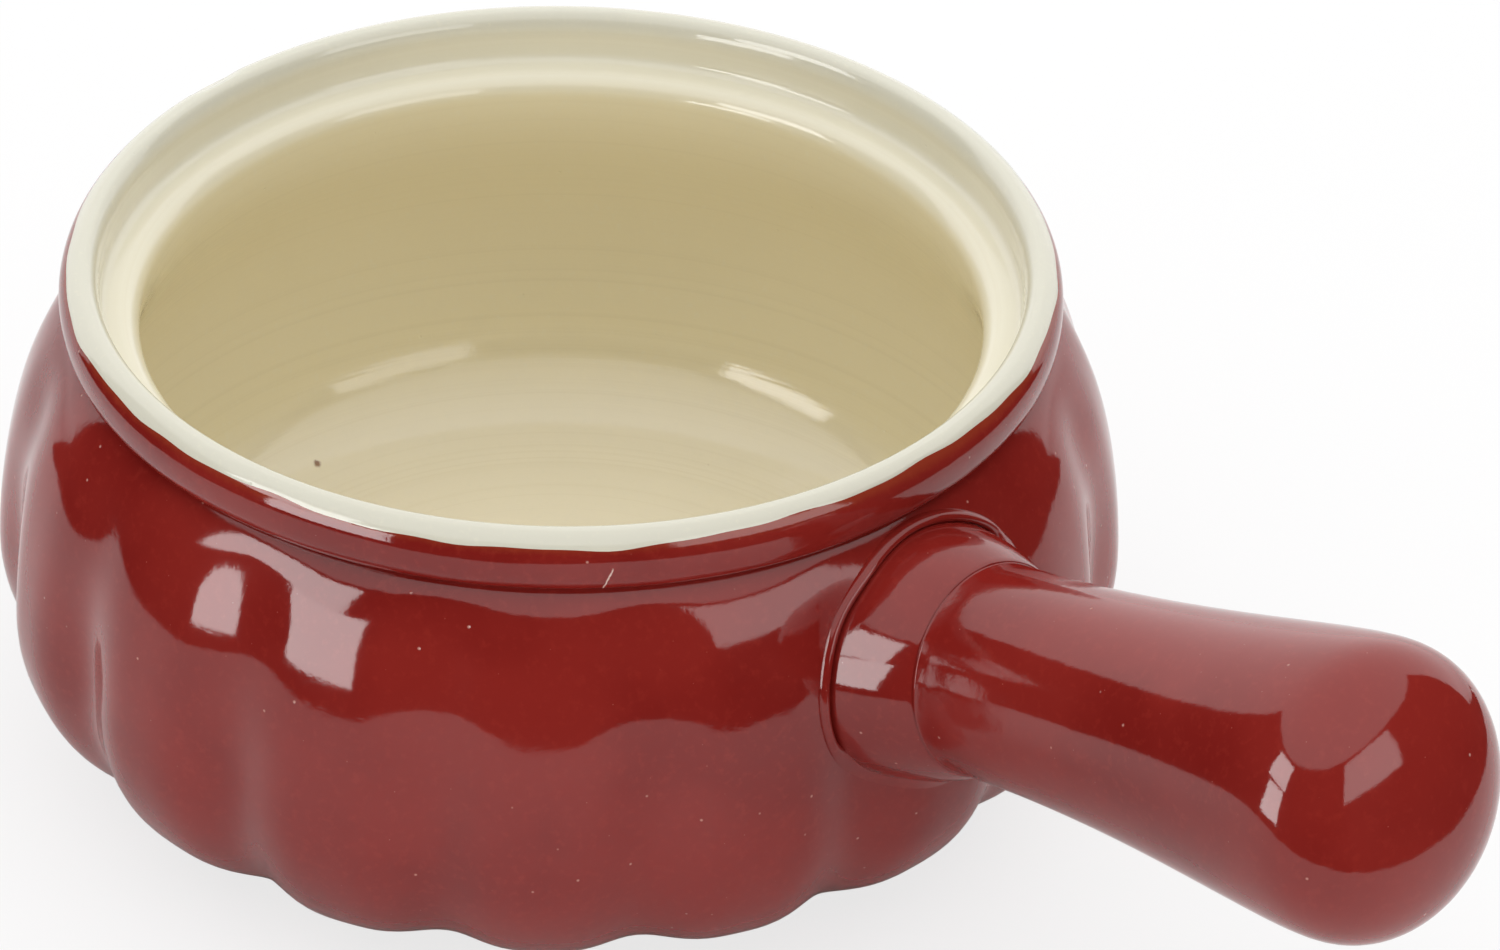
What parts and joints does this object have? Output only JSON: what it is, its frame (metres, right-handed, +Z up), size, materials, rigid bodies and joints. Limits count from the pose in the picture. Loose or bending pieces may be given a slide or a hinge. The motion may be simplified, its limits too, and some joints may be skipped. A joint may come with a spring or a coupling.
{
  "type": "one-handled soup bowl",
  "caption": "Stoneware soup bowl lobed like a pumpkin, red glaze outside and cream inside, with a lid gallery in the rim and a hollow club-shaped side handle in a collar.",
  "frame": {"origin": "on the surface the bowl stands on, under the middle of the whole outline, bowl and handle together", "axes": "+X along the handle, away from the bowl; +Z up through the mouth; +Y completes the right-handed set"},
  "size_m": [0.207, 0.134, 0.0729],
  "materials": {
    "bare_stoneware": "bare fired stoneware, fine sandy grain, seen at the foot only",
    "cream_glaze": "glossy cream glaze with faint turning lines and a few pinholes",
    "red_glaze": "glossy dark red glaze, breaking a little lighter on edges"
  },
  "bodies": {
    "root": {"bowl_body": "bare_stoneware", "liner_glaze": "cream_glaze", "outer_glaze": "red_glaze", "handle_collar": "red_glaze", "handle_grip": "red_glaze", "slip_seam": "red_glaze"}
  },
  "joints": []
}
